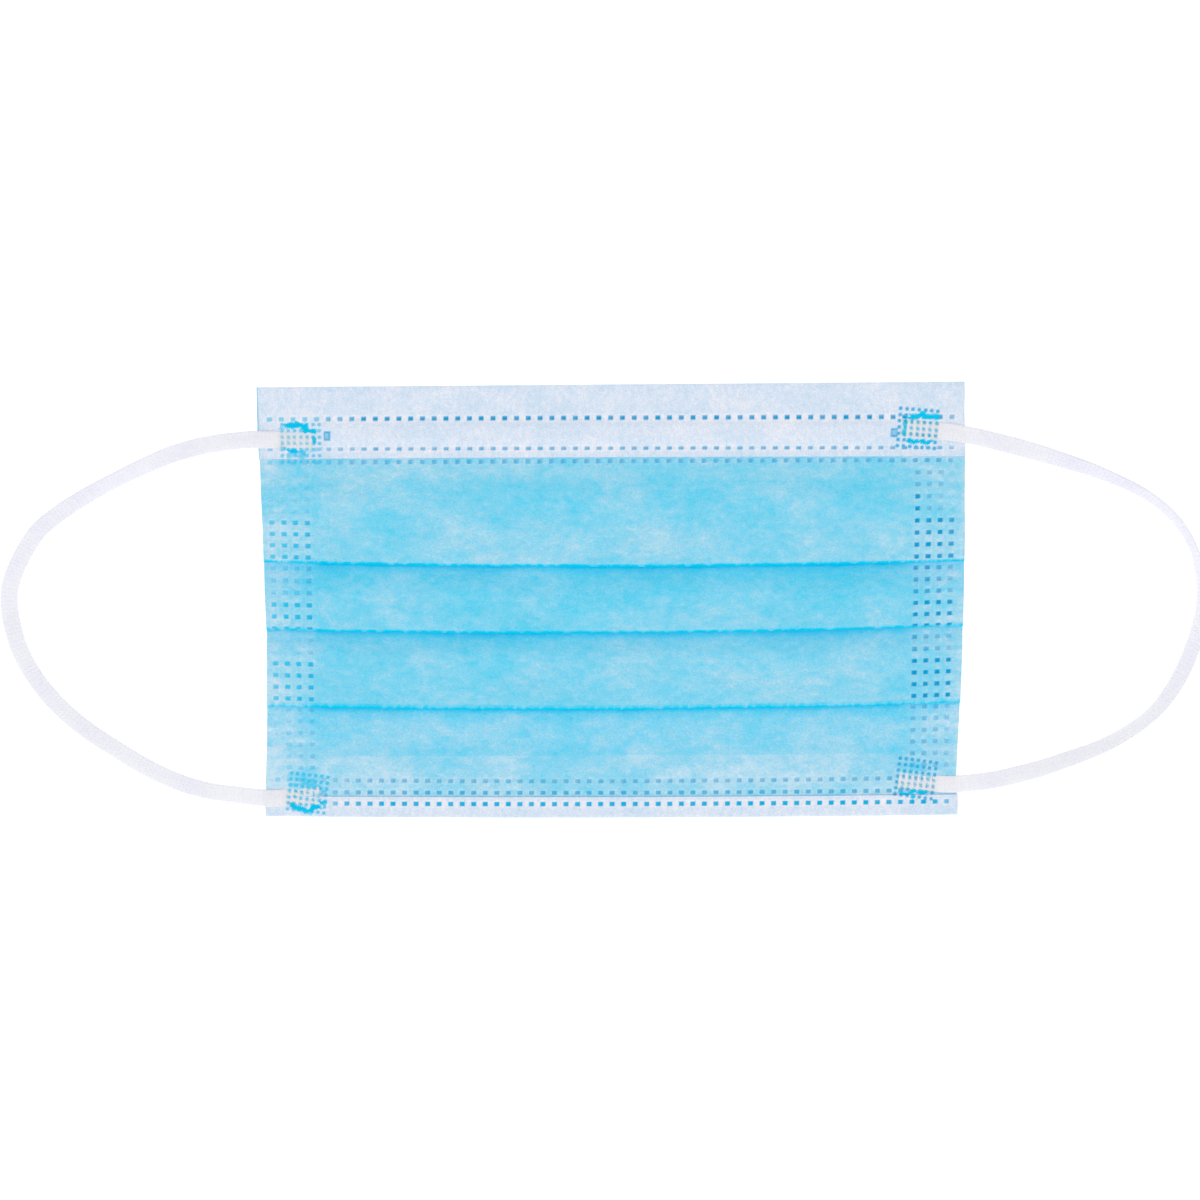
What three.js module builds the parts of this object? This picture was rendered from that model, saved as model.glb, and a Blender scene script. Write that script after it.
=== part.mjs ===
// A flat folded surgical face mask: pleated cloth, two hems, nose wire and two elastic ear loops.
// Millimetres, +Z up. The mask lies on its back with its outer side up and its nose edge towards +Y.
// The origin is on the surface that the mask lies on, under the middle of its cloth.
import * as THREE from "three";

// Outline of the cloth
const foldedHeight = 95;
const noseWidth = 152.8;
const chinWidth = 151.8;
const sideInset = 0.5; // the pleated cloth is drawn in from the ends of the hems
const foldSag = 0.7; // folds and chin edge bow down this far at the middle

// Layers of the cloth, one wall each, counted from the surface upwards
const clothWall = 1;
const layerGap = 0.2;
const backLayer = 0;
const middleLayer = 1;
const frontLayer = 2;

// Hems: the inner cloth turned over both edges
const noseHemHeight = 15.7;
const chinHemHeight = 4.5;
const chinClear = 5; // flat cloth above the chin hem
const chinRise = 6.5; // the cloth climbs onto the back of the chin hem over this length
const hemBackGap = 0.3; // behind, both hems stop this far short of where the pleated cloth takes over

// Nose wire
const wireLength = 120.2;
const wireWidth = 3.6;
const wireThickness = 0.6;
const wireFromEdge = 10.4; // nose edge to the middle of the wire
const wireClearance = 0.1;
const ridgeSlope = 1.4; // the hem comes down beside the wire over this width
const ridgeFade = 3.9; // and past the wire's ends over this length
const ridgeEndShare = 0.15; // what is left of the ridge at the ends of the hem

// Elastic
const elasticWidth = 3.4;
const elasticThickness = 1.1;
const elasticSides = 8;
const elasticSteps = 40;

// Fineness of the faceted shapes
const turnSteps = 6;
const riseSteps = 5;
const clothSteps = 12;
const noseHemSteps = 40;

// Each pleat opens towards the chin. Lengths are shares of the cloth's height at its sides:
// fold is the visible fold's distance from the nose edge, depth is how far the cloth doubles back under it.
const pleats = [
  { fold: 0.41, depth: 0.138 },
  { fold: 0.566, depth: 0.085 },
  { fold: 0.743, depth: 0.117 },
];

const noseEdge = foldedHeight / 2;
const sideHeight = foldedHeight - foldSag;
const chinHemStart = sideHeight - chinHemHeight;
const chinLevel = chinHemStart - chinClear;
const hemTurn = layerMiddle(frontLayer) / 2 - layerMiddle(backLayer) / 2 + clothWall / 2;

// Height of the middle of a layer above the surface.
function layerMiddle(layer) {
  return clothWall / 2 + layer * (clothWall + layerGap);
}

function mix(from, to, share) {
  return from + (to - from) * share;
}

function smoothShare(start, end, value) {
  const share = THREE.MathUtils.clamp((value - start) / (end - start), 0, 1);
  return share * share * (3 - 2 * share);
}

// A point of a section, from its distance to the nose edge and its height above the surface.
function place(distance, height) {
  return new THREE.Vector2(noseEdge - distance, height);
}

// A half turn whose outside reaches the given distance; side is 1 towards the chin and -1 towards the nose.
function halfTurn(reach, side, fromLayer, toLayer) {
  const from = layerMiddle(fromLayer);
  const to = layerMiddle(toLayer);
  const radius = Math.abs(to - from) / 2;
  const centre = reach - side * (radius + clothWall / 2);
  const points = [];
  for (let step = 0; step <= turnSteps; step++) {
    const angle = (Math.PI * step) / turnSteps;
    const distance = centre + side * radius * Math.sin(angle);
    points.push(place(distance, mix(from, to, (1 - Math.cos(angle)) / 2)));
  }
  return points;
}

// A soft climb from one layer to another.
function rise(start, end, fromLayer, toLayer) {
  const points = [];
  for (let step = 0; step <= riseSteps; step++) {
    const distance = mix(start, end, step / riseSteps);
    const share = smoothShare(start, end, distance);
    points.push(place(distance, mix(layerMiddle(fromLayer), layerMiddle(toLayer), share)));
  }
  return points;
}

// Closed outline of one wall of cloth laid evenly on both sides of a middle line.
function clothOutline(line) {
  const above = [];
  const below = [];
  line.forEach((point, index) => {
    const before = line[Math.max(index - 1, 0)];
    const after = line[Math.min(index + 1, line.length - 1)];
    const into = (index > 0 ? point.clone().sub(before) : after.clone().sub(point)).normalize();
    const out = (index < line.length - 1 ? after.clone().sub(point) : into.clone()).normalize();
    const normal = new THREE.Vector2(-into.y - out.y, into.x + out.x).normalize();
    const reach = clothWall / 2 / normal.dot(new THREE.Vector2(-into.y, into.x));
    above.push(point.clone().addScaledVector(normal, reach));
    below.push(point.clone().addScaledVector(normal, -reach));
  });
  return new THREE.Shape(above.concat(below.reverse()));
}

// Width of the pleated cloth at a distance from the nose edge.
function pleatedWidth(distance) {
  const share = Math.max(0, distance - noseHemHeight) / (sideHeight - noseHemHeight);
  return mix(noseWidth, chinWidth, share) - 2 * sideInset;
}

// How far the cloth has bowed down towards the chin.
function sagAt(across, distance) {
  const alongFold = 1 - across * across;
  return foldSag * alongFold * smoothShare(noseHemHeight, pleats[0].fold * sideHeight, distance);
}

// Height of the ridge over the wire, as a share of its full height.
function ridgeShare(x) {
  const end = wireLength / 2;
  return mix(1, ridgeEndShare, smoothShare(end, end + ridgeFade, Math.abs(x)));
}

// A section swept from side to side. It is extruded over a length of 1, which widthAt then stretches.
function sweep(shape, steps, widthAt, lowerTo) {
  const geometry = new THREE.ExtrudeGeometry(shape, { depth: 1, steps, bevelEnabled: false });
  const axes = [new THREE.Vector3(0, 1, 0), new THREE.Vector3(0, 0, 1), new THREE.Vector3(1, 0, 0)];
  geometry.applyMatrix4(new THREE.Matrix4().makeBasis(...axes));
  const position = geometry.attributes.position;
  for (let index = 0; index < position.count; index++) {
    const across = 2 * position.getX(index) - 1;
    const distance = noseEdge - position.getY(index);
    const x = (across * widthAt(distance)) / 2;
    const y = position.getY(index) - sagAt(across, distance);
    position.setXYZ(index, x, y, lowerTo(x, distance, position.getZ(index)));
  }
  geometry.computeVertexNormals();
  return geometry;
}

function keepHeight(x, distance, height) {
  return height;
}

// The coloured cloth, from inside the nose hem through its three pleats to inside the chin hem.
function pleatedPanelGeometry() {
  const line = [place(hemTurn, layerMiddle(middleLayer))];
  let climbStart = noseHemHeight;
  let climbLayer = middleLayer;
  for (const pleat of pleats) {
    const fold = pleat.fold * sideHeight;
    const back = fold - pleat.depth * sideHeight;
    line.push(...rise(climbStart, back, climbLayer, frontLayer));
    line.push(...halfTurn(fold, 1, frontLayer, middleLayer));
    line.push(...halfTurn(back, -1, middleLayer, backLayer));
    climbStart = fold;
    climbLayer = backLayer;
  }
  line.push(...rise(chinLevel - chinRise, chinLevel, backLayer, middleLayer));
  line.push(place(sideHeight - hemTurn, layerMiddle(middleLayer)));
  return sweep(clothOutline(line), clothSteps, pleatedWidth, keepHeight);
}

// The nose hem folds over the nose edge and stands up in a ridge over the wire.
function noseHemGeometry() {
  const front = layerMiddle(frontLayer);
  const ridge = front + wireThickness;
  const wireNear = wireFromEdge - wireWidth / 2;
  const wireFar = wireFromEdge + wireWidth / 2;
  const firstBack = (pleats[0].fold - pleats[0].depth) * sideHeight;
  const line = [
    place(noseHemHeight, front),
    place(wireFar + ridgeSlope, front),
    place(wireFar, ridge),
    place(wireNear, ridge),
    place(wireNear - ridgeSlope, front),
    ...halfTurn(0, -1, frontLayer, backLayer),
    place(firstBack - hemBackGap, layerMiddle(backLayer)),
  ];
  const ridgeReach = wireWidth / 2 + ridgeSlope / 2;
  const lowerTo = (x, distance, height) => {
    const onRidge = Math.abs(distance - wireFromEdge) < ridgeReach && height > layerMiddle(middleLayer);
    return onRidge ? height - wireThickness * (1 - ridgeShare(x)) : height;
  };
  return sweep(clothOutline(line), noseHemSteps, () => noseWidth, lowerTo);
}

// The chin hem folds over the chin edge.
function chinHemGeometry() {
  const line = [
    place(chinLevel + hemBackGap, layerMiddle(backLayer)),
    ...halfTurn(sideHeight, 1, backLayer, frontLayer),
    place(chinHemStart, layerMiddle(frontLayer)),
  ];
  return sweep(clothOutline(line), clothSteps, () => chinWidth, keepHeight);
}

// A flat elastic swept along its route, with its width lying level.
function elasticGeometry(route) {
  const section = [];
  for (let side = 0; side < elasticSides; side++) {
    const angle = (2 * Math.PI * side) / elasticSides;
    const up = (elasticThickness / 2) * Math.cos(angle);
    const sideways = (elasticWidth / 2) * Math.sin(angle);
    section.push(new THREE.Vector2(up, sideways));
  }
  const path = new THREE.CatmullRomCurve3(route.map((point) => new THREE.Vector3(...point)));
  const settings = { extrudePath: path, steps: elasticSteps, bevelEnabled: false };
  return new THREE.ExtrudeGeometry(new THREE.Shape(section), settings);
}

// Routes of the elastics' middle lines, from the weld at the nose hem round to the weld at the chin.
const leftRoute = [
  [-64.1, 35.4, 4.2], [-69.4, 35.5, 4.2], [-74.1, 35.7, 4.2], [-79.3, 35.8, 3.9], [-84.8, 35.2, 2.6],
  [-89.9, 34.2, 1.2], [-95.3, 32.6, 0.6], [-100.5, 30.4, 0.6], [-105.8, 27.9, 0.6], [-111, 25.2, 0.6],
  [-116.3, 22.1, 0.6], [-120.7, 19.1, 0.6], [-124.3, 16, 0.6], [-127.1, 12, 0.6], [-129.4, 7.6, 0.6],
  [-130.9, 2.8, 0.6], [-130.9, -2, 0.6], [-130.2, -6, 0.6], [-128.9, -10.4, 0.6], [-126.7, -14.8, 0.6],
  [-123.6, -19.3, 0.6], [-119.3, -24, 0.6], [-114.2, -28.3, 0.6], [-109, -31.8, 0.6],
  [-103.8, -35.1, 0.6], [-98.6, -37.9, 0.6], [-93.3, -40.1, 0.8], [-88, -41.5, 2], [-82.5, -42.2, 3.6],
  [-77.3, -42.6, 4.2], [-72, -42.5, 4.2], [-63.7, -42, 4.2],
];
const rightRoute = [
  [62.6, 38.6, 4.4], [67.3, 38.1, 4.3], [72, 37.6, 4.2], [77, 36.8, 4.1], [82.5, 35.6, 3],
  [87.7, 34.4, 1.4], [93, 32.9, 0.6], [98.2, 31.3, 0.6], [103.5, 29.6, 0.6], [108.7, 27.5, 0.6],
  [114, 25, 0.6], [118.4, 22.1, 0.6], [122.2, 18.6, 0.6], [125.1, 14.4, 0.6], [127, 10.1, 0.6],
  [128.1, 5, 0.6], [128.5, -0.3, 0.6], [127.9, -5.3, 0.6], [126.4, -10.2, 0.6], [124.6, -14.8, 0.6],
  [122.2, -19.3, 0.6], [119, -23.5, 0.6], [115, -27, 0.6], [110.2, -30.1, 0.6], [105, -32.6, 0.6],
  [99.8, -34.6, 0.6], [94.6, -36.3, 0.6], [89.2, -37.7, 0.8], [84, -38.8, 1.7], [78.5, -39.4, 2.7],
  [73.2, -39.5, 3], [68, -39, 3], [63.1, -38.5, 3],
];

const outerCloth = { color: "#86d5f0", roughness: 0.85, metalness: 0 };
const innerCloth = { color: "#dbe5f4", roughness: 0.85, metalness: 0 };
const coatedWire = { color: "#e6e8ec", roughness: 0.45, metalness: 0 };
const knittedElastic = { color: "#f0f0f8", roughness: 0.8, metalness: 0 };

function addPiece(group, name, geometry, look) {
  const piece = new THREE.Mesh(geometry, new THREE.MeshStandardMaterial(look));
  piece.name = name;
  group.add(piece);
  return piece;
}

const mask = new THREE.Group();
addPiece(mask, "pleated_panel", pleatedPanelGeometry(), outerCloth);
addPiece(mask, "nose_hem", noseHemGeometry(), innerCloth);
addPiece(mask, "chin_hem", chinHemGeometry(), innerCloth);

const wireGeometry = new THREE.BoxGeometry(wireLength, wireWidth, wireThickness);
const wire = addPiece(mask, "nose_wire", wireGeometry, coatedWire);
const panelTop = layerMiddle(middleLayer) + clothWall / 2;
wire.position.set(0, noseEdge - wireFromEdge, panelTop + wireClearance + wireThickness / 2);

addPiece(mask, "ear_loop_left", elasticGeometry(leftRoute), knittedElastic);
addPiece(mask, "ear_loop_right", elasticGeometry(rightRoute), knittedElastic);

export default mask;
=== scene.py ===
import math

import bpy
import numpy as np
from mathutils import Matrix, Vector
from mathutils.bvhtree import BVHTree


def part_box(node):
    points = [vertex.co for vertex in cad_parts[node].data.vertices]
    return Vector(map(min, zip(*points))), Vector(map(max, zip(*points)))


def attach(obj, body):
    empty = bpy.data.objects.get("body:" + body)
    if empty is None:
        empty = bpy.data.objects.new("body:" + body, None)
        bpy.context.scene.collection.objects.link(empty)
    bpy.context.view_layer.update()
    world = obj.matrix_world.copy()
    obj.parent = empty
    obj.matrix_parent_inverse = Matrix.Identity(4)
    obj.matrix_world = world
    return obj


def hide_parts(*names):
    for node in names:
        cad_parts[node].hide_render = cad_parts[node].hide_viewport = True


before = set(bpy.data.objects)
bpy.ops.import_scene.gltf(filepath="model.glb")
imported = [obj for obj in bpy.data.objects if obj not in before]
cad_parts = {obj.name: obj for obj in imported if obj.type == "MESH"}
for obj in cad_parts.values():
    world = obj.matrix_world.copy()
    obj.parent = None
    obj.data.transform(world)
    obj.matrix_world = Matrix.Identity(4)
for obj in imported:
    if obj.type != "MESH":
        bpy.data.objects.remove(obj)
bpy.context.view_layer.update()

mm = 0.001  # shapes are worked out in millimetres and stored in metres
print("frame loaded")

# Camera and light

viewpoint = {
    "lean": 8.2,  # degrees off square, towards the nose edge
    "distance": 600,
    "aim": (-2.43, 0.54),  # point of the surface in the middle of the picture
    "lens": 82.63,
}


def makeCamera():
    lean = math.radians(viewpoint["lean"])
    lens = bpy.data.cameras.new("camera")
    lens.lens = viewpoint["lens"]
    lens.sensor_width = 36
    lens.clip_start = 0.01
    camera = bpy.data.objects.new("camera", lens)
    aimX, aimY = viewpoint["aim"]
    reach = viewpoint["distance"]
    place = Vector((aimX, aimY + reach * math.sin(lean), reach * math.cos(lean)))
    camera.location = place * mm
    camera.rotation_euler = (-lean, 0, 0)
    bpy.context.scene.collection.objects.link(camera)
    bpy.context.scene.camera = camera


studio = {
    "skyStrength": 0.822,
    "keyStrength": 0.68,
    "keyWidth": 60,  # degrees of sky that the soft key light fills
    "keyTilt": (35, -4),  # degrees: down from above on the chin side, and a little from the left
    "floorGlow": 0.34,  # the sweep is lit brighter than what lies on it
    "floorSize": 20000,
}


def makeLight():
    key = bpy.data.lights.new("softbox", "SUN")
    key.energy = studio["keyStrength"]
    key.angle = math.radians(studio["keyWidth"])
    softbox = bpy.data.objects.new("softbox", key)
    down, side = studio["keyTilt"]
    softbox.rotation_euler = (math.radians(down), math.radians(side), 0)
    bpy.context.scene.collection.objects.link(softbox)
    world = bpy.data.worlds.new("studio")
    bpy.context.scene.world = world
    world.use_nodes = True
    sky = world.node_tree.nodes["Background"]
    sky.inputs["Color"].default_value = (1, 1, 1, 1)
    sky.inputs["Strength"].default_value = studio["skyStrength"]
    bpy.context.scene.view_settings.view_transform = "Standard"


makeCamera()
makeLight()
print("camera and light done")

# Small helpers


def linear(code):
    shares = [int(code[i : i + 2], 16) / 255 for i in (1, 3, 5)]
    return (*[c / 12.92 if c <= 0.04045 else ((c + 0.055) / 1.055) ** 2.4 for c in shares], 1)


def smoothShare(start, end, value):
    share = np.clip((value - start) / (end - start), 0, 1)
    return share * share * (3 - 2 * share)


def bump(value, flat, foot):
    return 1 - smoothShare(flat, foot, np.abs(value))


def ripples(x, y, size, seed):
    # soft irregular waves about as long as size, with a spread of about 1
    random = np.random.default_rng(seed)
    waves = 9
    total = 0
    for _ in range(waves):
        turn, phase = random.uniform(0, 2 * math.pi, 2)
        length = size * random.uniform(0.6, 1.7)
        total = total + np.sin(2 * math.pi * (x * math.cos(turn) + y * math.sin(turn)) / length + phase)
    return total / math.sqrt(waves / 2)


def spaced(start, end, step, keep=()):
    # values from start to end, no further than step apart, with each kept value among them
    marks = sorted({start, end, *[value for value in keep if start < value < end]})
    values = []
    for before, after in zip(marks, marks[1:]):
        values.extend(np.linspace(before, after, math.ceil((after - before) / step - 1e-6), endpoint=False))
    return values + [end]


def fineEnds(start, innerStart, innerEnd, end, fineStep, step, keep=()):
    # the same, with closer values before the inner start and after the inner end
    values = spaced(start, innerStart, fineStep) + spaced(innerStart, innerEnd, step, keep)[1:]
    return values + spaced(innerEnd, end, fineStep)[1:]


# Materials


def addNode(tree, kind, settings=None, links=None):
    node = tree.nodes.new(kind)
    for name, value in (settings or {}).items():
        if hasattr(node, name):
            setattr(node, name, value)
        else:
            node.inputs[name].default_value = value
    for name, socket in (links or {}).items():
        tree.links.new(socket, node.inputs[name])
    return node


def addRamp(tree, value, stops):
    ramp = addNode(tree, "ShaderNodeValToRGB", links={"Fac": value})
    points = ramp.color_ramp.elements
    while len(points) < len(stops):
        points.new(0.5)
    for point, (share, code) in zip(points, stops):
        point.position = share
        point.color = linear(code)
    return ramp.outputs["Color"]


def addMix(tree, share, first, second):
    mix = addNode(tree, "ShaderNodeMix", {"data_type": "RGBA"})
    for index, source in ((0, share), (6, first), (7, second)):
        if isinstance(source, (int, float, tuple)):
            mix.inputs[index].default_value = source
        else:
            tree.links.new(source, mix.inputs[index])
    return mix.outputs[2]


def addMath(tree, operation, *values):
    node = addNode(tree, "ShaderNodeMath", {"operation": operation})
    for index, value in enumerate(values):
        if isinstance(value, (int, float)):
            node.inputs[index].default_value = value
        else:
            tree.links.new(value, node.inputs[index])
    return node.outputs[0]


def addSurface(tree, settings, links=None):
    shader = addNode(tree, "ShaderNodeBsdfPrincipled", settings, links)
    tree.links.new(shader.outputs["BSDF"], tree.nodes["Material Output"].inputs["Surface"])


def vertexValue(tree, name):
    return addNode(tree, "ShaderNodeAttribute", {"attribute_name": name}).outputs["Fac"]


def mottle(tree, layers):
    # sum of noises, each with its size in mm, how far it is drawn out across the cloth, its swing and detail
    place = addNode(tree, "ShaderNodeTexCoord").outputs["Object"]
    total = 0.0
    for size, drawn, swing, detail in layers:
        scale = (1 / (size * mm * drawn), 1 / (size * mm), 1 / (size * mm))
        at = addNode(tree, "ShaderNodeMapping", {"Scale": scale}, {"Vector": place}).outputs["Vector"]
        noise = addNode(tree, "ShaderNodeTexNoise", {"Scale": 1.0, "Detail": detail}, {"Vector": at})
        centred = addMath(tree, "SUBTRACT", noise.outputs["Fac"], 0.5)
        total = addMath(tree, "MULTIPLY_ADD", centred, swing, total)
    return total


spunbond = {
    # PP spunbond, melt-spun fibres bonded by a hot calender: dull, and cloudy with thick and thin spots
    "blueTones": (
        (0.0, "#00ccf0"),
        (0.45, "#64d4f1"),
        (0.64, "#86d7f1"),
        (0.77, "#9edaf0"),
        (1.0, "#c8e4f3"),
    ),
    "whiteTones": ((0.0, "#bfdcee"), (0.5, "#dae6f7"), (1.0, "#f4f2f9")),
    # clouds of thick and thin fibre: mm, how far they are drawn out across the cloth, swing and detail
    "blueClouds": ((0.5, 1.4, 0.28, 1), (1.3, 1.8, 0.38, 1), (4.5, 1.5, 0.36, 1), (15, 1.3, 0.34, 0)),
    "whiteClouds": ((0.5, 0.5, 0.5, 1), (1.4, 0.6, 0.72, 1), (3.5, 1, 0.3, 0), (9, 1.2, 0.36, 0)),
    "fibreSize": 0.3,  # bundles of fibres, seen as fine light and dark specks
    "fibreShade": 0.42,
    "scatter": 0.25,  # mm that light wanders inside the cloth, which brightens its cut edges
    "blueRing": 0.06,  # the cloth is paler round each weld
    "whiteRing": 0.22,
    "weldInk": "#009fd4",  # fused to a film, so the blue under it shows full
    "meltInk": "#00c8f0",
    "bondPitch": 1.1,  # calender points, drawn a little coarser than the real 0.8 mm so that they show
    "bondHollow": 0.35,  # share of the pitch over which the cloth rises round a point
    "relief": {"strength": 0.35, "depth": 0.08, "bonds": 0.8, "fibres": 0.6},
    "roughness": 0.82,
    "weldGloss": -0.35,  # a fused weld is smoother
}


def addClothSurface(tree, colour, weld, melt):
    inked = addMix(tree, weld, colour, linear(spunbond["weldInk"]))
    molten = addMix(tree, melt, inked, linear(spunbond["meltInk"]))
    place = addNode(tree, "ShaderNodeTexCoord").outputs["Object"]
    fineness = 1 / (spunbond["fibreSize"] * mm)
    fibres = addNode(tree, "ShaderNodeTexNoise", {"Scale": fineness, "Detail": 3.0}, {"Vector": place})
    bond = addNode(tree, "ShaderNodeMapping", {"Rotation": (0, 0, math.radians(45))}, {"Vector": place})
    points = addNode(
        tree,
        "ShaderNodeTexVoronoi",
        {"Scale": 1 / (spunbond["bondPitch"] * mm), "Randomness": 0.0, "voronoi_dimensions": "2D"},
        {"Vector": bond.outputs["Vector"]},
    )
    swing = spunbond["fibreShade"]
    shade = addMath(tree, "MULTIPLY_ADD", fibres.outputs["Fac"], swing, 1 - swing / 2)
    scaling = {"operation": "SCALE"}
    speckled = addNode(tree, "ShaderNodeVectorMath", scaling, {"Vector": molten, "Scale": shade})
    relief = spunbond["relief"]
    dimple = addMath(tree, "MINIMUM", points.outputs["Distance"], spunbond["bondHollow"])
    rough = addMath(tree, "MULTIPLY", fibres.outputs["Fac"], relief["fibres"])
    height = addMath(tree, "MULTIPLY_ADD", dimple, relief["bonds"], rough)
    depth = {"Strength": relief["strength"], "Distance": relief["depth"] * mm}
    bumps = addNode(tree, "ShaderNodeBump", depth, {"Height": height})
    fused = addMath(tree, "MAXIMUM", weld, melt)
    glaze = addMath(tree, "MULTIPLY_ADD", fused, spunbond["weldGloss"], spunbond["roughness"])
    addSurface(
        tree,
        {
            "IOR": 1.49,
            "Specular IOR Level": 0.05,
            "Subsurface Weight": 0.4,
            "Subsurface Scale": spunbond["scatter"] * mm,
            "Subsurface Radius": (1, 1, 1),
        },
        {"Base Color": speckled.outputs["Vector"], "Roughness": glaze, "Normal": bumps.outputs["Normal"]},
    )


def emptyMaterial(name):
    material = bpy.data.materials.new(name)
    material.use_nodes = True
    tree = material.node_tree
    tree.nodes.remove(tree.nodes["Principled BSDF"])
    return material, tree


def whiteCloth(tree):
    tone = addMath(tree, "ADD", vertexValue(tree, "tone"), mottle(tree, spunbond["whiteClouds"]))
    return addRamp(tree, tone, spunbond["whiteTones"])


def makeInnerCloth():
    # white spunbond: soft and matt, a little blue where the coloured cloth lies under it
    material, tree = emptyMaterial("whiteSpunbondPolypropylene")
    addClothSurface(tree, whiteCloth(tree), vertexValue(tree, "weld"), vertexValue(tree, "melt"))
    return material


def makeOuterCloth():
    # dyed spunbond outside, white inside: the tone says how thick the fibres lie, thin spots being paler; it
    # also carries painted shade under each fold and along the fold edges
    material, tree = emptyMaterial("blueSpunbondPolypropylene")
    tone = addMath(tree, "ADD", vertexValue(tree, "tone"), mottle(tree, spunbond["blueClouds"]))
    blue = addRamp(tree, tone, spunbond["blueTones"])
    ply = vertexValue(tree, "ply")
    inside = addNode(tree, "ShaderNodeMapRange", {"From Min": 0.45, "From Max": 0.55}, {"Value": ply})
    colour = addMix(tree, inside.outputs["Result"], blue, whiteCloth(tree))
    addClothSurface(tree, colour, vertexValue(tree, "weld"), vertexValue(tree, "melt"))
    return material


elasticLook = {
    "tones": ((0.0, "#dcdce9"), (0.5, "#f0f0f8"), (1.0, "#fafafd")),
    "clouds": ((1.2, 1, 0.2, 1), (8, 1, 0.25, 0)),
    "stitch": 0.9,  # mm along the band from loop to loop
    "ribTurn": 7.85,  # radians of the ribs' wave from the middle of the band to its edge
    "loopLean": 2.5,
    "loopShade": 0.04,
    "weldInk": "#58b8dc",  # the pins press the white band down onto the blue
}


def makeElastic():
    # knitted polyester over spandex: soft ribs along the band, small loops across it, no gloss
    material, tree = emptyMaterial("knittedElastic")
    along = vertexValue(tree, "along")
    across = vertexValue(tree, "across")
    turns = addMath(tree, "MULTIPLY", along, 2 * math.pi / elasticLook["stitch"])
    rib = addMath(tree, "SINE", addMath(tree, "MULTIPLY", across, elasticLook["ribTurn"]))
    slant = addMath(tree, "ABSOLUTE", rib)
    loops = addMath(tree, "SINE", addMath(tree, "MULTIPLY_ADD", slant, elasticLook["loopLean"], turns))
    tone = addMath(tree, "ADD", vertexValue(tree, "tone"), mottle(tree, elasticLook["clouds"]))
    shade = addMath(tree, "MULTIPLY_ADD", loops, elasticLook["loopShade"], tone)
    colour = addRamp(tree, shade, elasticLook["tones"])
    inked = addMix(tree, vertexValue(tree, "weld"), colour, linear(elasticLook["weldInk"]))
    molten = addMix(tree, vertexValue(tree, "melt"), inked, linear(spunbond["meltInk"]))
    relief = addNode(tree, "ShaderNodeBump", {"Strength": 0.4, "Distance": 0.1 * mm}, {"Height": loops})
    addSurface(
        tree,
        {
            "IOR": 1.5,
            "Roughness": 0.78,
            "Specular IOR Level": 0.2,
            "Sheen Weight": 0.1,
            "Subsurface Weight": 0.5,
            "Subsurface Scale": 0.4 * mm,
            "Subsurface Radius": (1, 1, 1),
        },
        {"Base Color": molten, "Normal": relief.outputs["Normal"]},
    )
    return material


def makeWireCoat():
    # extruded polyethylene over iron: milky, waxy half gloss
    material, tree = emptyMaterial("polyethyleneCoatedWire")
    clouds = addMath(tree, "ADD", mottle(tree, ((3, 4, 0.5, 2),)), 0.5)
    colour = addRamp(tree, clouds, ((0.0, "#dcdfe4"), (1.0, "#f0f2f5")))
    addSurface(tree, {"IOR": 1.51, "Roughness": 0.38}, {"Base Color": colour})
    return material


def makeFloorPaint():
    # matt white studio sweep
    material, tree = emptyMaterial("mattWhitePaint")
    addSurface(
        tree,
        {
            "Base Color": (1, 1, 1, 1),
            "Roughness": 1.0,
            "Specular IOR Level": 0.0,
            "Emission Color": (1, 1, 1, 1),
            "Emission Strength": studio["floorGlow"],
        },
    )
    return material


innerCloth = makeInnerCloth()
outerCloth = makeOuterCloth()
knittedElastic = makeElastic()
wireCoat = makeWireCoat()
print("materials done")

# How the folded cloth lies

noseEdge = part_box("nose_hem")[1].y / mm  # distances are measured from here towards the chin

cloth = {
    "wall": 0.45,  # all plies of the pleated cloth
    "hemWall": 0.25,  # the hems are a single ply
    "layers": (0.25, 0.88, 1.51),  # heights of the middle of the back, middle and front layer
    "inHem": 0.51,  # the same inside the hems
    "hemBack": 0.14,
    "hemFront": 0.88,
    "looseFrom": (15.8, 25),  # between the hems the layers lie looser
    "looseTo": (78, 84.8),
    "sidePress": 0.7,  # at the welded sides the layers lie closer together by this share
    "pressing": (60.5, 71),
    "swell": 0.1,  # how much the layers lift and settle between the welds
    "swellSizes": (34, 11),
    "swellFades": (58, 70),
    "gap": 0.01,
    "turnRows": 6,
    "fineStep": 0.24,
    "restStep": 1.5,
    "hiddenStep": 7,
}

# How lines across the cloth lie: distance from the nose edge, leaning to one side and sagging at the middle
laid = {
    "lines": (
        (0, -0.52, 0),
        (7.1, -0.25, -0.06),
        (13.7, -0.17, -0.05),
        (15.8, -0.27, -0.09),
        (16.4, -0.25, -0.04),
        (21, -0.43, 0),
        (38.6, -0.08, 0.84),
        (53.3, -0.38, 0.83),
        (70, -0.34, 0.88),
        (81.1, -0.34, 0.12),
        (86.2, -0.22, 0.52),
        (88.9, -0.17, 0.39),
        (90.2, -0.17, 0.28),
        (91.5, -0.17, 0.33),
        (94.6, -0.15, 0.37),
    ),
    "reach": 65,  # the leaning is measured this far from the middle
}

# Side edges of the pleated cloth, in mm from the middle
sides = {
    "distance": (0, 14, 17, 24, 31, 41, 54, 64, 73, 80, 88, 93),
    "left": (-76.35, -76.3, -75.88, -75.7, -75.5, -75.4, -75.05, -75.13, -75.35, -75.53, -75.85, -75.4),
    "right": (76.1, 76.1, 76.45, 76.38, 76.62, 76.66, 76.6, 76.45, 76.25, 76.0, 75.7, 75.9),
    "fixed": 74.6,  # the cloth within this is where it was welded
}

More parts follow.
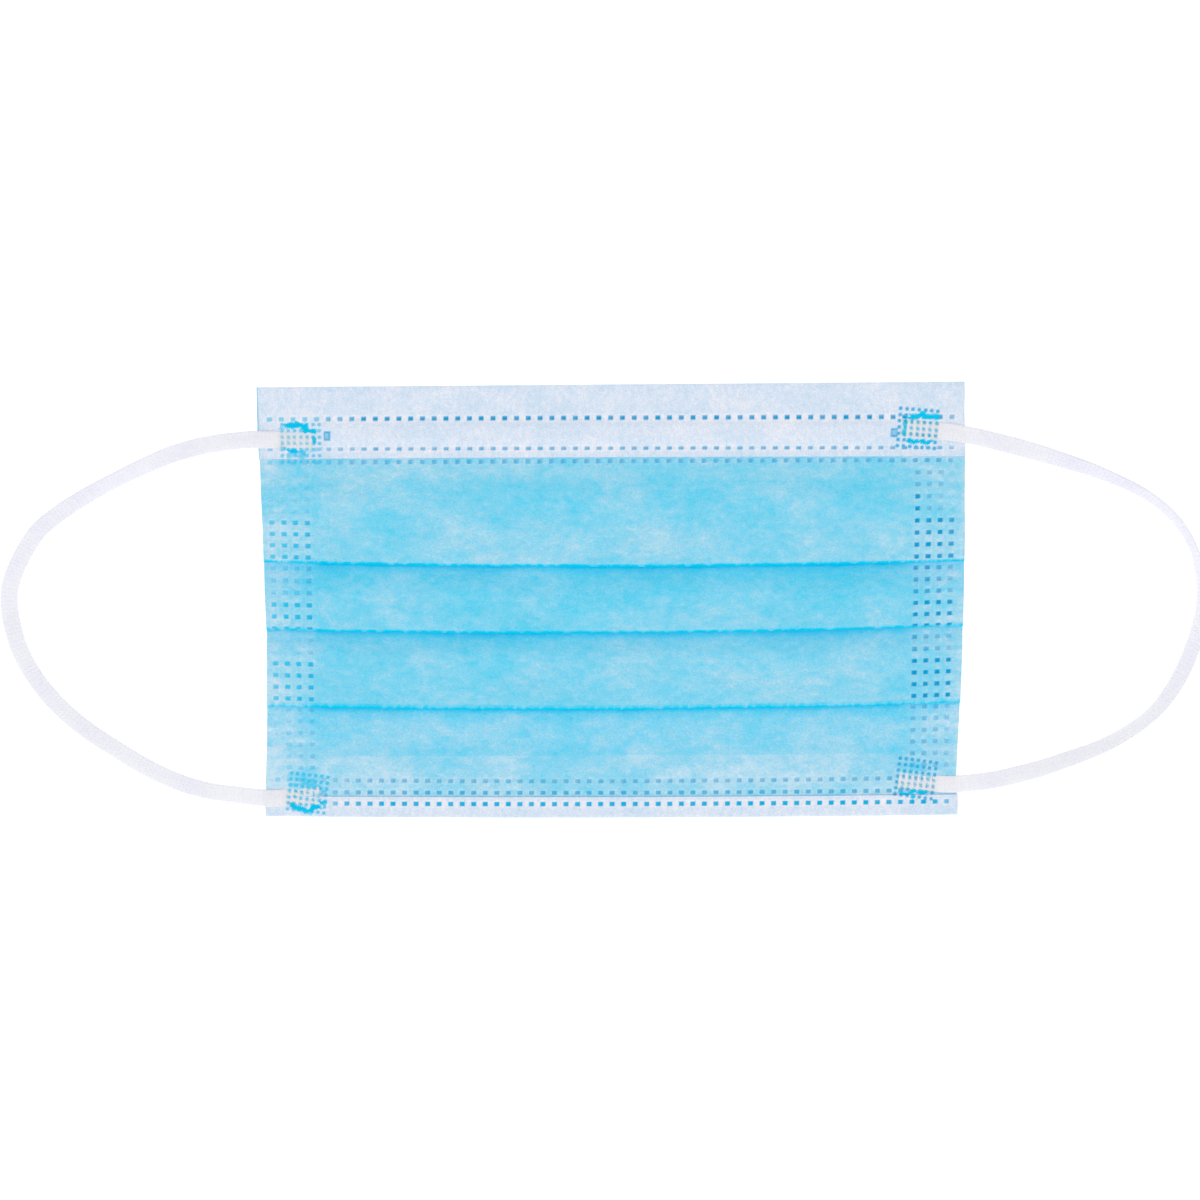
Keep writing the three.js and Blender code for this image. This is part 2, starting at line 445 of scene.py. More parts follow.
pleats = ({"fold": 38.72, "depth": 13.12}, {"fold": 53.3, "depth": 8}, {"fold": 70.17, "depth": 11.17})


def drift(x, distance):
    share = x / laid["reach"]
    places, leans, sags = zip(*laid["lines"])
    lean = np.interp(distance, places, leans)
    sag = np.interp(distance, places, sags)
    return lean * share + sag * (1 - share * share)


def lieAt(x, distance, middle, offset, wall):
    # from a place on the section to a place on the table; offset is the way out from the wall's middle
    loose = smoothShare(*cloth["looseFrom"], distance) * (1 - smoothShare(*cloth["looseTo"], distance))
    press = 1 - (1 - cloth["sidePress"]) * loose * smoothShare(*cloth["pressing"], np.abs(x))
    free = loose * (1 - smoothShare(*cloth["swellFades"], np.abs(x)))
    large, small = cloth["swellSizes"]
    waves = ripples(x, distance, large, 3) + 0.5 * ripples(x, distance, small, 5)
    lowest = wall / 2 + cloth["gap"]
    height = lowest + np.maximum(middle - lowest, 0) * press * (1 + cloth["swell"] * free * waves)
    return noseEdge - distance - drift(x, distance), height + offset


# Sections of the cloth

sampleStep = 0.1


def level(start, end, height):
    return climb(start, end, height, height)


def climb(start, end, fromHeight, toHeight):
    distances = np.linspace(start, end, max(2, math.ceil(abs(end - start) / sampleStep)))
    heights = fromHeight + (toHeight - fromHeight) * smoothShare(start, end, distances)
    return np.column_stack([distances, heights])


def halfTurn(reach, side, fromHeight, toHeight, wall):
    # its outer face reaches the given distance; side is 1 towards the chin and -1 towards the nose
    radius = abs(toHeight - fromHeight) / 2
    centre = reach - side * (radius + wall / 2)
    angles = np.linspace(0, math.pi, 25)
    distances = centre + side * radius * np.sin(angles)
    heights = fromHeight + (toHeight - fromHeight) * (1 - np.cos(angles)) / 2
    return np.column_stack([distances, heights])


def turnStart(reach, side, fromHeight, toHeight, wall):
    return reach - side * (abs(toHeight - fromHeight) / 2 + wall / 2)


def joinSection(parts, wall):
    points = [parts[0][0]]
    spans = []
    for part in parts:
        first = len(points) - 1
        points.extend(part[1:])
        spans.append((first, len(points) - 1))
    points = np.array(points)
    along = np.concatenate([[0], np.cumsum(np.hypot(*np.diff(points, axis=0).T))])
    heading = np.gradient(points, along, axis=0)
    heading /= np.linalg.norm(heading, axis=1)[:, None]
    up = np.column_stack([-heading[:, 1], heading[:, 0]])
    section = {"along": along, "points": points, "up": up, "spans": spans, "wall": wall}
    section["settle"] = lambda x, middle: middle + 0 * x
    return section


def rowsOn(section, span, distances):
    first, last = section["spans"][span]
    stretch = section["points"][first : last + 1, 0]
    along = section["along"][first : last + 1]
    if stretch[0] > stretch[-1]:
        stretch, along = stretch[::-1], along[::-1]
    return np.interp(distances, stretch, along)


def rowsRound(section, span):
    first, last = section["spans"][span]
    return np.linspace(section["along"][first], section["along"][last], cloth["turnRows"] + 1)


# Welds

dotPitch = 2.535
dotShape = {"flatX": 0.42, "footX": 0.66, "flatY": 0.34, "footY": 0.58, "depth": 0.1, "halo": 1.05}

# Weld rows across the whole width: distance from the nose edge, first dot and strength of the ink
dotRows = (
    {"distance": 7.24, "first": -73.65, "ink": 1.04, "cyan": 0, "tall": 1},
    {"distance": 13.8, "first": -73.61, "ink": 0.8, "cyan": 0.15, "tall": 0.85},
    {"distance": 16.6, "first": -73.73, "ink": 0.66, "cyan": 0, "tall": 1},
    {"distance": 86.6, "first": -73.22, "ink": 0.66, "cyan": 0.1, "tall": 1},
    {"distance": 89.3, "first": -73.27, "ink": 0.77, "cyan": 0.2, "tall": 1},
    {"distance": 91.8, "first": -73.28, "ink": 1.06, "cyan": 0.5, "tall": 1},
)
dotCount = 59

# Weld columns down each side
sideDots = {
    "first": 19.35,
    "pitch": 2.576,
    "count": 26,
    "columns": (-73.2, -70.6, -68.1, -65.5, 66.1, 68.6, 71.1, 73.55),
    "slant": {"left": 0.008, "right": -0.004, "from": 62},  # the columns lean a little, above this distance
    # how hard the welder pressed on each column, from each row on, counted from the nose
    "presses": (
        {"from": 0, "inks": (0, 0.05, 0.05, 0.15, 0.55, 0.46, 0.4, 0.05)},
        {"from": 2, "inks": (0.08, 0.15, 0.12, 0.2, 1.05, 0.5, 0.3, 0)},
        {"from": 4, "inks": (0.66, 0.8, 0.93, 0.94, 1.08, 1.08, 1.06, 0.95)},
        {"from": 8, "inks": (0.3, 0.42, 0.42, 0.55, 0.9, 0.9, 0.76, 0.48)},
        {"from": 11, "inks": (0.8, 0.95, 1.02, 1.08, 1.1, 1.1, 1.1, 1.06)},
        {"from": 14, "inks": (0, 0, 0.1, 0.28, 0.84, 0.68, 0.56, 0.4)},
        {"from": 16, "inks": (0.66, 0.84, 1.0, 1.06, 1.1, 1.1, 1.1, 1.1)},
        {"from": 20, "inks": (0.05, 0.24, 0.3, 0.33, 0.56, 0.5, 0.46, 0.34)},
    ),
}

# Pin welds that hold the elastic: seven by seven pins, turned a little, with molten seams beside the band
pins = {
    "pitch": 1.34,
    "reach": 3,  # pins from the middle one to the last
    "half": 0.36,
    "depth": 0.1,
    "block": 6,  # all marks of a weld lie this near to its middle
    "tinted": (4.2, 4.9),
}

# Each seam runs through points right and up of the middle of its weld, and has half a width and a strength
pinWelds = (
    {
        "centre": (-66.94, 34.85),
        "turn": 0,
        "ink": 0.3,
        "cyan": 0.6,
        "tint": 0.12,
        "seams": (
            (((-3.0, 3.7), (-0.8, 3.85), (1.1, 3.35)), 0.66, 1),
            (((1.1, 2.6), (2.9, 2.55)), 0.48, 1),
            (((-4.3, 3.1), (-2.8, 3.1)), 0.18, 0.7),
            (((2.8, 1.4), (2.8, 0.6), (2.86, -0.5)), 0.28, 0.95),
            (((-4.3, -1.1), (-3.3, -1.25)), 0.25, 0.5),
            (((-3.3, -1.25), (-2.3, -1.7), (-1.2, -1.75)), 0.42, 1),
            (((0.0, -1.7), (0.75, -2.4)), 0.38, 0.9),
            (((-2.8, -2.7), (-1.5, -2.6), (0.5, -2.8)), 0.55, 0.6),
            (((0.8, -2.65), (2.3, -1.6), (4.2, -1.1)), 0.2, 0.4),
        ),
    },
    {
        "centre": (66.02, 38.06),
        "turn": -4.5,
        "ink": 0.85,
        "cyan": 0.35,
        "tint": 0.05,
        "seams": (
            (((-1.4, 2.5), (0.2, 2.7), (0.8, 3.1), (1.5, 2.5), (4.2, 2.5)), 0.58, 1),
            (((-1.8, -2.55), (-0.7, -3.0), (0.4, -2.85), (1.3, -2.7), (2.0, -3.25), (2.9, -2.7)), 0.4, 1),
            (((-2.65, 2.0), (-2.75, 0.6), (-2.85, -1.6)), 0.36, 0.9),
        ),
    },
    {
        "centre": (-66.67, -42.17),
        "turn": -7,
        "ink": 0.3,
        "cyan": 0.7,
        "tint": 0.05,
        "seams": (
            (((-3.4, -2.8), (-2.3, -3.5), (-1.3, -3.55), (-0.1, -4.2), (0.8, -3.5), (2.4, -3.2)), 0.6, 1),
            (((3.0, -2.1), (3.95, -2.1)), 0.36, 0.95),
            (((-1.0, 3.8), (-0.7, 2.2)), 0.5, 0.5),
            (((-3.8, 1.6), (-1.2, 2.1), (1.5, 1.7), (2.6, 1.4)), 0.32, 0.6),
            (((2.7, 0.8), (2.5, -0.3), (2.3, -1.6)), 0.3, 0.5),
        ),
    },
    {
        "centre": (66.91, -38.92),
        "turn": -7.5,
        "ink": 0.8,
        "cyan": 0.12,
        "tint": 0.04,
        "seams": (
            (((-3.2, -3.3), (-2.2, -3.35), (-0.4, -2.95), (0.9, -3.15), (2.7, -3.05)), 0.32, 1),
            (((-0.5, -4.1), (-0.3, -4.0)), 0.5, 0.8),
            (((-1.2, 3.1), (1.2, 2.5)), 0.65, 0.35),
            (((-2.2, 2.0), (2.6, 1.7)), 0.2, 0.35),
        ),
    },
)

# How the welder pressed: hotter towards its left end, with less ink and more of it molten to cyan
welder = {
    "rowsHotter": (-50, -72),
    "columnsHotter": (-62, -70),
    "lighter": (70, 75),
    "rowSpread": (0.9, 1.06),
    "columnSpread": (0.92, 1.06),
    "rowLoss": 0.75,
    "rowMelt": 0.6,
    "columnLoss": 0.5,
    "columnMelt": 0.35,  # of the cooler columns on the left
    "lightLoss": 0.4,
}

# Marks that stop the nose wire from sliding
wireStops = ({"centre": (-61.3, 36.45), "half": (0.7, 0.98)}, {"centre": (61.0, 37.2), "half": (0.72, 0.95)})


def dotCover(away, along, flatX, footX, flatY, footY):
    return bump(away, flatX, footX) * bump(along, flatY, footY)


def oneDot(x, distance, column, row, tall=1):
    # ink, dent and the pale ring round a square dot; the ink carries painted light and shade, lighter on its
    # left and nose side and darker on its right and chin side
    away, along = x - column, (distance - row) / tall
    shape = dotShape
    cover = dotCover(away, along, shape["flatX"], shape["footX"], shape["flatY"], shape["footY"])
    # painted light and shade across the dot
    dotLightAndShade = 0.94 + 0.06 * np.clip(away / shape["footX"] + along / shape["footY"], -1, 1)
    ring = dotCover(away, along, shape["footX"], shape["halo"], shape["footY"], shape["halo"])
    return cover * dotLightAndShade, cover * shape["depth"], ring


def weldsAt(x, y, distance):
    # ink of the welds, molten seams, dents and pale rings, for arrays of places in mm
    chance = np.random.default_rng(11)
    ink, melt, dent, ring = (np.zeros(np.broadcast(x, distance).shape) for _ in range(4))
    hotter = smoothShare(*welder["rowsHotter"], x)
    lighter = 1 - welder["lightLoss"] * smoothShare(*welder["lighter"], x)
    for row in dotRows:
        nearest = np.clip(np.round((x - row["first"]) / dotPitch), 0, dotCount - 1).astype(int)
        middles = row["first"] + nearest * dotPitch
        cover, hollow, pale = oneDot(x, distance, middles, row["distance"], row["tall"])
        strength = chance.uniform(*welder["rowSpread"], dotCount)[nearest] * row["ink"]
        strength = strength * (1 - welder["rowLoss"] * hotter) * lighter
        ink, dent, ring = np.maximum(ink, cover * strength), np.maximum(dent, hollow), np.maximum(ring, pale)
        cyan = np.maximum(row["cyan"] * strength, welder["rowMelt"] * row["ink"] * hotter)
        melt = np.maximum(melt, cover * cyan)
    starts = [press["from"] for press in sideDots["presses"]]
    slant, first, pitch, count = [sideDots[key] for key in ("slant", "first", "pitch", "count")]
    for index, column in enumerate(sideDots["columns"]):
        nearest = np.clip(np.round((distance - first) / pitch), 0, count - 1)
        lean = slant["left" if column < 0 else "right"] * np.minimum(distance - slant["from"], 0)
        cover, hollow, pale = oneDot(x, distance, column + lean, first + nearest * pitch)
        inks = np.array([press["inks"][index] for press in sideDots["presses"]])
        strength = inks[np.searchsorted(starts, np.arange(count), side="right") - 1]
        strength = (strength * chance.uniform(*welder["columnSpread"], count))[nearest.astype(int)]
        hot = smoothShare(*welder["columnsHotter"], column)
        ink = np.maximum(ink, cover * strength * (1 - welder["columnLoss"] * hot))
        cyan = welder["columnMelt"] + (1 - welder["columnMelt"]) * hot
        melt = np.maximum(melt, cover * strength * cyan * (x < 0))
        dent = np.maximum(dent, hollow)
        ring = np.maximum(ring, pale * (0.4 + 0.6 * strength))
    for stop in wireStops:
        reachX = np.abs(x - stop["centre"][0]) / stop["half"][0]
        reachY = np.abs(y - stop["centre"][1]) / stop["half"][1]
        rim = np.maximum(reachX, reachY)
        ink = np.maximum(ink, 0.7 * bump(rim - 0.82, 0.1, 0.34) + 0.42 * bump(rim, 0.6, 0.8))
        melt = np.maximum(melt, 0.25 * bump(rim, 0.8, 1.15))
        dent = np.maximum(dent, 0.1 * bump(rim, 0.8, 1.15))
    pinInk, seams, hollow, _ = pinsAt(x, y)
    return np.clip(np.maximum(ink, pinInk), 0, 1), np.maximum(melt, seams), np.maximum(dent, hollow), ring


def awayFromWay(right, up, way):
    nearest = np.full(np.shape(right), np.inf)
    for (startX, startY), (endX, endY) in zip(way, way[1:]):
        runX, runY = endX - startX, endY - startY
        share = np.clip(((right - startX) * runX + (up - startY) * runY) / (runX**2 + runY**2), 0, 1)
        nearest = np.minimum(nearest, np.hypot(right - startX - share * runX, up - startY - share * runY))
    return nearest


def offPin(place):
    nearest = np.clip(np.round(place / pins["pitch"]), -pins["reach"], pins["reach"])
    return np.abs(place - nearest * pins["pitch"])


def pinsAt(x, y):
    # ink, molten seams and dents of the pin welds, and the faint tint of what lies under their pins
    ink, melt, dent, tint = (np.zeros(np.shape(x)) for _ in range(4))
    ragged = 0.14 * ripples(x, y, 1.5, 21) + 0.1 * ripples(x, y, 0.6, 22)
    for weld in pinWelds:
        right, up = x - weld["centre"][0], y - weld["centre"][1]
        if not ((np.abs(right) < pins["block"]) & (np.abs(up) < pins["block"])).any():
            continue
        turn = math.radians(weld["turn"])
        across = right * math.cos(turn) + up * math.sin(turn)
        along = up * math.cos(turn) - right * math.sin(turn)
        corner = (offPin(across) ** 3 + offPin(along) ** 3) ** (1 / 3)  # a square pin with round corners
        pin = bump(corner, pins["half"] * 0.75, pins["half"] * 1.35)
        ink = np.maximum(ink, pin * weld["ink"])
        melt = np.maximum(melt, pin * weld["cyan"])
        dent = np.maximum(dent, pin * pins["depth"])
        tint = np.maximum(tint, weld["tint"] * bump(across, *pins["tinted"]) * bump(along, *pins["tinted"]))
        for way, reach, strength in weld["seams"]:
            away = awayFromWay(right, up, way) + ragged - 0.1 * pin
            melt = np.maximum(melt, strength * (1 - smoothShare(0.75 * reach, 1.25 * reach, away)))
    return ink, melt, dent, tint


# Building a wall of cloth


def gridFaces(first, rows, columns, flip):
    index = first + np.arange(rows * columns).reshape(rows, columns)
    corners = [index[:-1, :-1], index[:-1, 1:], index[1:, 1:], index[1:, :-1]]
    faces = np.stack([corner.ravel() for corner in corners], axis=1)
    return faces[:, ::-1] if flip else faces


def zipEdges(first, firstPlaces, second, secondPlaces, flip):
    # triangles between two edges whose points are placed along the same line
    faces = []
    i = j = 0
    while i < len(first) - 1 or j < len(second) - 1:
        onFirst = j == len(second) - 1 or (i < len(first) - 1 and firstPlaces[i + 1] <= secondPlaces[j + 1])
        face = (first[i], second[j], first[i + 1]) if onFirst else (first[i], second[j], second[j + 1])
        faces.append(face[::-1] if flip else face)
        i, j = (i + 1, j) if onFirst else (i, j + 1)
    return faces


def widened(columns, distance, edges):
    # columns past the welded part are moved so that the last one is on the cloth's edge
    x = np.broadcast_to(columns, (len(distance), len(columns))).copy()
    limit = edges["fixed"]
    for name, sign in (("left", -1), ("right", 1)):
        edge = np.interp(distance, edges["distance"], edges[name])[:, None]
        outer = sign * x > limit
        share = (np.abs(x) - limit) / (np.abs(columns).max() - limit)
        x = np.where(outer, sign * limit + share * (edge - sign * limit), x)
    return x


def faceOf(section, rows, columns, side, shown, edges):
    # one face of the wall: places, and what the material needs at each of them
    at = [np.interp(rows, section["along"], values) for values in (*section["points"].T, *section["up"].T)]
    distance, middle, upDistance, upHeight = [values[:, None] for values in at]
    half = side * section["wall"] / 2
    x = widened(np.array(columns), distance[:, 0], edges)
    middle = section["settle"](x, middle)
    onTable = noseEdge - distance - drift(x, distance)
    ink, melt, dent, ring = weldsAt(x, onTable, distance + half * upDistance + 0 * x)
    seen = np.array(shown, float)[:, None]
    out = half - side * dent * seen
    surface = distance + upDistance * out
    y, height = lieAt(x, surface, middle, upHeight * out, section["wall"])
    place = np.stack([x, y, height], axis=-1)
    marks = {"weld": ink * seen, "melt": melt * seen, "ring": ring * seen}
    return {"x": x, "distance": surface, "place": place, "rows": rows, "columns": columns, **marks}


def meshPiece(name, places, faces, smoothCount, values, material, slotName, *nodes):
    mesh = bpy.data.meshes.new(name)
    mesh.from_pydata((places * mm).tolist(), [], faces)
    mesh.update()
    for attribute, data in values.items():
        layer = mesh.attributes.new(attribute, "FLOAT", "POINT")
        layer.data.foreach_set("value", np.ascontiguousarray(data, dtype=np.float32))
    mesh.polygons.foreach_set("use_smooth", np.arange(len(mesh.polygons)) < smoothCount)
    mesh.materials.append(material)
    piece = bpy.data.objects.new(name, mesh)
    bpy.context.scene.collection.objects.link(piece)
    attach(piece, "root")
    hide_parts(*nodes)
    return piece


def buildWall(outer, inner):
    # closes the outer and inner face of one wall into a single body
    places, faces, borders, values = [], [], [], {"tone": [], "weld": [], "melt": [], "ply": []}
    for side, face in (("outer", outer), ("inner", inner)):
        first = sum(len(part) for part in places)
        rows, columns = face["x"].shape
        places.append(face["place"].reshape(-1, 3))
        faces.extend(gridFaces(first, rows, columns, side == "outer").tolist())
        for key in ("tone", "weld", "melt"):
            values[key].append(face[key].ravel())
        values["ply"].append(np.full(rows * columns, 0.0 if side == "outer" else 1.0))
        borders.append(first + np.arange(rows * columns).reshape(rows, columns))
    smoothCount = len(faces)  # the cut edges stay crisp
    top, under = borders
    for end, flip in ((0, True), (-1, False)):
        faces += zipEdges(top[:, end], outer["rows"], under[:, end], inner["rows"], flip)
        faces += zipEdges(top[end], outer["columns"], under[end], inner["columns"], not flip)
    values = {key: np.concatenate(data) for key, data in values.items()}
    return np.concatenate(places), faces, smoothCount, values


def ringFaces(rings, count):
    # quads from ring to ring, then a cap on each end
    faces = []
    for first in range(0, (rings - 1) * count, count):
        for i in range(count):
            j = (i + 1) % count
            faces.append((first + i, first + j, first + count + j, first + count + i))
    faces.append(tuple(range(count))[::-1])
    faces.append(tuple((rings - 1) * count + i for i in range(count)))
    return faces


def rounded(wave, power):
    # turns a circle's sine or cosine into that of a rounded rectangle
    return np.sign(wave) * np.abs(wave) ** power


# Columns of points across the cloth, in mm from the middle

fineFrom = 60.4  # the pins are further out than this
halfWidth = 76
edgeColumns = (75.2, 75.7, halfWidth)
betweenStep = 1.4
innerStep = 2.6
coarseStep = 3.5


def dotEdges(middles, flat, foot):
    return [middle + reach for middle in middles for reach in (-foot, -flat, flat, foot)]


def columnsFor(row, leftEdgesOf=None):
    # fine at the sides; between them the edges of each dot of one row, and the left edges of another's
    counts = np.arange(dotCount) * dotPitch
    lines = dotEdges(dotRows[row]["first"] + counts, dotShape["flatX"], dotShape["footX"])
    if leftEdgesOf is not None:
        others = dotRows[leftEdgesOf]["first"] + counts
        lines += [middle - reach for middle in others for reach in (dotShape["footX"], dotShape["flatX"])]
    fixed = sides["fixed"]
    columns = fineEnds(-fixed, -fineFrom, fineFrom, fixed, cloth["fineStep"], betweenStep, lines)
    return [*[-edge for edge in edgeColumns[::-1]], *columns, *edgeColumns]


sideLines = dotEdges(sideDots["columns"], dotShape["flatX"], dotShape["footX"])
innerColumns = [-halfWidth, *spaced(-sides["fixed"], sides["fixed"], innerStep, sideLines), halfWidth]
coarseColumns = [-halfWidth, *spaced(-sides["fixed"], sides["fixed"], coarseStep), halfWidth]

sideRowMiddles = [sideDots["first"] + count * sideDots["pitch"] for count in range(sideDots["count"])]
rowMiddles = sideRowMiddles + [row["distance"] for row in dotRows]
rowLines = dotEdges(rowMiddles, dotShape["flatY"], dotShape["footY"])

# Pleated cloth

pleatedLook = {
    "start": 1.3,
    "end": 93,
    "hemEdge": 15.8,
    "chinRise": (78.3, 84.8),
    "fineFrom": 80.2,
    "liners": (20.96, 81.3),  # edges of the turned-in cloth behind, which shows through as a greyer band
    "linerTones": (0.695, 0.785),
    "underLiner": 0.628,  # the cloth is bluest just under the nose liner, and pales towards the first fold
    "paling": (26, 33),
    "insideTone": 0.62,
    "weldsBehind": 0.5,  # less of the ink shows from behind
    "meltBehind": 0.3,
}

# Tone of each stretch under a fold: at rest, and how much painted shade of the fold deepens it close under
# the fold and further down
stretchToneAndShade = (
    {"rest": 0.7, "close": 0, "closeReach": 1, "far": 0, "farReach": 1},
    {"rest": 0.625, "close": 0.48, "closeReach": 0.6, "far": 0.18, "farReach": 5},
    {"rest": 0.695, "close": 0.4, "closeReach": 0.55, "far": 0.2, "farReach": 5},
    {"rest": 0.687, "close": 0.46, "closeReach": 0.45, "far": 0.25, "farReach": 1.3},
)
creases = {
    "width": 0.75,
    "depths": (1.1, 0.85, 0.9),
    "beads": 0.6,
    "beadRange": (0.45, 1.6),
    "weldLoss": 0.35,
    "weldStart": (62, 66),
}

# Welded sides: the cloth is paler there, more so outwards, with creases between the rows of dots
weldedSide = {
    "start": (62.5, 65),
    "outwards": (64, 75),
    "left": 0.17,
    "right": 0.11,
    "creases": 0.045,
    "overLiner": 0.08,
    "rightEdge": (75.2, 75.8),
    "rightEdgeTone": 0.08,
    "closeLoss": 0.7,  # the folds' shading fades in the welds
    "farLoss": 0.4,
}


def pleatedSection():
    back, middle, front = cloth["layers"]
    inHem, wall = cloth["inHem"], cloth["wall"]
    look = pleatedLook
    parts = [level(look["start"], look["hemEdge"] + 0.8, inHem)]
    climbStart, climbFrom = look["hemEdge"] + 0.8, inHem
    kinds = ["leg"]
    for pleat in pleats:
        fold, behind = pleat["fold"], pleat["fold"] - pleat["depth"]
        frontStart = turnStart(fold, 1, front, middle, wall)
        backStart = turnStart(behind, -1, middle, back, wall)
        parts += [
            climb(climbStart, behind, climbFrom, front),
            level(behind, frontStart, front),
            halfTurn(fold, 1, front, middle, wall),
            level(frontStart, backStart, middle),
            halfTurn(behind, -1, middle, back, wall),
            level(backStart, fold, back),
        ]
        kinds += ["leg", "leg", "turn", "hidden", "turn", "leg"]
        climbStart, climbFrom = fold, back
    parts += [
        level(climbStart, look["chinRise"][0], back),
        climb(*look["chinRise"], back, inHem),
        level(look["chinRise"][1], look["end"], inHem),
    ]
    kinds += ["leg", "leg", "leg"]
    return joinSection(parts, wall), kinds


def pleatedRows(section, kinds, side):
    # rows of points, and whether each is on a stretch that can be seen from this side
    rows, shown = [], []
    look = pleatedLook
    folds = [pleat["fold"] for pleat in pleats]
    backs = [pleat["fold"] - pleat["depth"] for pleat in pleats]
    passed = 0
    for span, kind in enumerate(kinds):
        first, last = section["spans"][span]
        start, end = section["points"][first, 0], section["points"][last, 0]
        if kind == "turn":
            values, seen = rowsRound(section, span), [False] * (cloth["turnRows"] + 1)
            passed += 0.5
        elif kind == "hidden":
            distances = spaced(end, start, cloth["hiddenStep"])[::-1]
            values, seen = rowsOn(section, span, distances), [False] * len(distances)
        else:
            leg = int(passed)
            if side > 0:
                low = folds[leg - 1] if leg else look["hemEdge"] - 0.6
                high = folds[leg] if leg < len(folds) else 90.6
            else:
                low = backs[leg - 1] if leg else backs[0]
                high = backs[leg] if leg < len(backs) else look["chinRise"][1]
            distances = legRows(start, end, low, high, side)
            values = rowsOn(section, span, distances)
            seen = [low - 0.3 <= distance <= high + 0.3 for distance in distances]
        keep = [i for i, value in enumerate(values) if not rows or value > rows[-1] + 1e-4]
        rows += [values[i] for i in keep]
        shown += [seen[i] for i in keep]
    return np.array(rows), shown


def legRows(start, end, low, high, side):
    if end - start < 1e-6:
        return [start, end]
    cuts = sorted({start, end, min(max(low, start), end), min(max(high, start), end)})
    fine = pleatedLook["fineFrom"]
    distances = [start]
    for before, after in zip(cuts, cuts[1:]):
        seen = low - 0.01 <= before and after <= high + 0.01
        if not seen:
            part = spaced(before, after, cloth["hiddenStep"])
        elif side > 0 and after > fine:
            middle = max(before, fine)
            part = spaced(before, middle, cloth["restStep"], rowLines) if before < fine else [before]
            part += spaced(middle, after, cloth["fineStep"])[1:]
        else:
            part = spaced(before, after, cloth["restStep"], rowLines)
        distances += part[1:]
    return distances


def outerTone(face):
    look = pleatedLook
    x, distance = face["x"], face["distance"]
    folds = [0] + [pleat["fold"] for pleat in pleats]
    inWeld = smoothShare(*weldedSide["start"], np.abs(x))
    tone = np.zeros(x.shape)
    # painted shade under each fold: deepest close under it, fading further down
    for fold, stretch in zip(folds, stretchToneAndShade):
        below = np.maximum(distance - fold, 0)
        close = stretch["close"] * np.exp(-below / stretch["closeReach"])
        far = stretch["far"] * np.exp(-below / stretch["farReach"])
        close = close * (1 - weldedSide["closeLoss"] * inWeld)
        far = far * (1 - weldedSide["farLoss"] * inWeld)
        tone = np.where(distance >= fold - 0.02, stretch["rest"] - close - far, tone)
    first, last = look["liners"]
    underLiner = (stretchToneAndShade[0]["rest"] - look["underLiner"]) * (1 - smoothShare(*look["paling"], distance))
    tone = np.where(distance < first, look["linerTones"][0], tone - underLiner)
    tone = np.where(distance > last, look["linerTones"][1] - weldedSide["overLiner"] * inWeld, tone)
    paler = np.where(x < 0, weldedSide["left"], weldedSide["right"])
    outward = smoothShare(*weldedSide["outwards"], np.abs(x)) * paler
    turns = 2 * math.pi * (distance - sideDots["first"]) / sideDots["pitch"]
    tone = tone + outward - weldedSide["creases"] * inWeld * np.cos(turns + 0.6 * ripples(x, distance, 6, 51))
    lightEdge = weldedSide["rightEdgeTone"] * smoothShare(*weldedSide["rightEdge"], x)
    return tone + spunbond["blueRing"] * face["ring"] + lightEdge


def creaseEdgeAndShade(face, section, rows):
    # the outermost line of each fold shows the cloth edge on, so its colour is deepest; the deepening is
    # partly that edge-on colour and partly painted shade in the fold
    x, distance = face["x"], face["distance"]
    deeper = np.zeros(x.shape)
    for index, (pleat, depth) in enumerate(zip(pleats, creases["depths"])):
        first, last = section["spans"][3 + 6 * index]  # the turn at the front of this pleat
        onTurn = (rows >= section["along"][first] - 0.6) & (rows <= section["along"][last] + 0.5)
        beads = 0.6 * ripples(x, 0 * x, 2.2, 31 + index) + 0.5 * ripples(x, 0 * x, 1.1, 41 + index)
        faded = 1 - creases["weldLoss"] * smoothShare(*creases["weldStart"], np.abs(x))
        cover = smoothShare(pleat["fold"] - creases["width"], pleat["fold"] - 0.25, distance)
        beaded = np.clip(1 + creases["beads"] * beads, *creases["beadRange"])
        deeper += depth * cover * onTurn[:, None] * beaded * faded
    return deeper


def makePleatedCloth():
    section, kinds = pleatedSection()
    rows, shown = pleatedRows(section, kinds, 1)
    outer = faceOf(section, rows, columnsFor(4, 2), 1, shown, sides)
    outer["tone"] = outerTone(outer) - creaseEdgeAndShade(outer, section, rows)
    innerRows, innerShown = pleatedRows(section, kinds, -1)
    inner = faceOf(section, innerRows, innerColumns, -1, innerShown, sides)
    inner["tone"] = pleatedLook["insideTone"] + spunbond["whiteRing"] * inner["ring"]
    inner["weld"] = inner["weld"] * pleatedLook["weldsBehind"]
    inner["melt"] = inner["melt"] * pleatedLook["meltBehind"]
    piece = meshPiece("pleatedCloth", *buildWall(outer, inner), outerCloth, "outer_cloth", "pleated_panel")
    return piece


pleatedCloth = makePleatedCloth()
print("pleated cloth", len(pleatedCloth.data.vertices), "points")

# Hems

# Behind, the hems end as wide as the pleated cloth
noseHemSides = {
    "distance": (0, 5, 8, 15.9, 16.6, 26),
    "left": (-76.35, -76.15, -76.1, -76.1, -75.75, -75.5),
    "right": (76, 76.05, 76.15, 76.5, 76.2, 76.1),
    "fixed": sides["fixed"],
}
chinHemSides = {
    "distance": (84, 89.8, 90.1, 95),
    "left": (-75.3, -75.4, -76.1, -75.95),
    "right": (75.6, 75.6, 76.2, 76.2),
    "fixed": sides["fixed"],
}

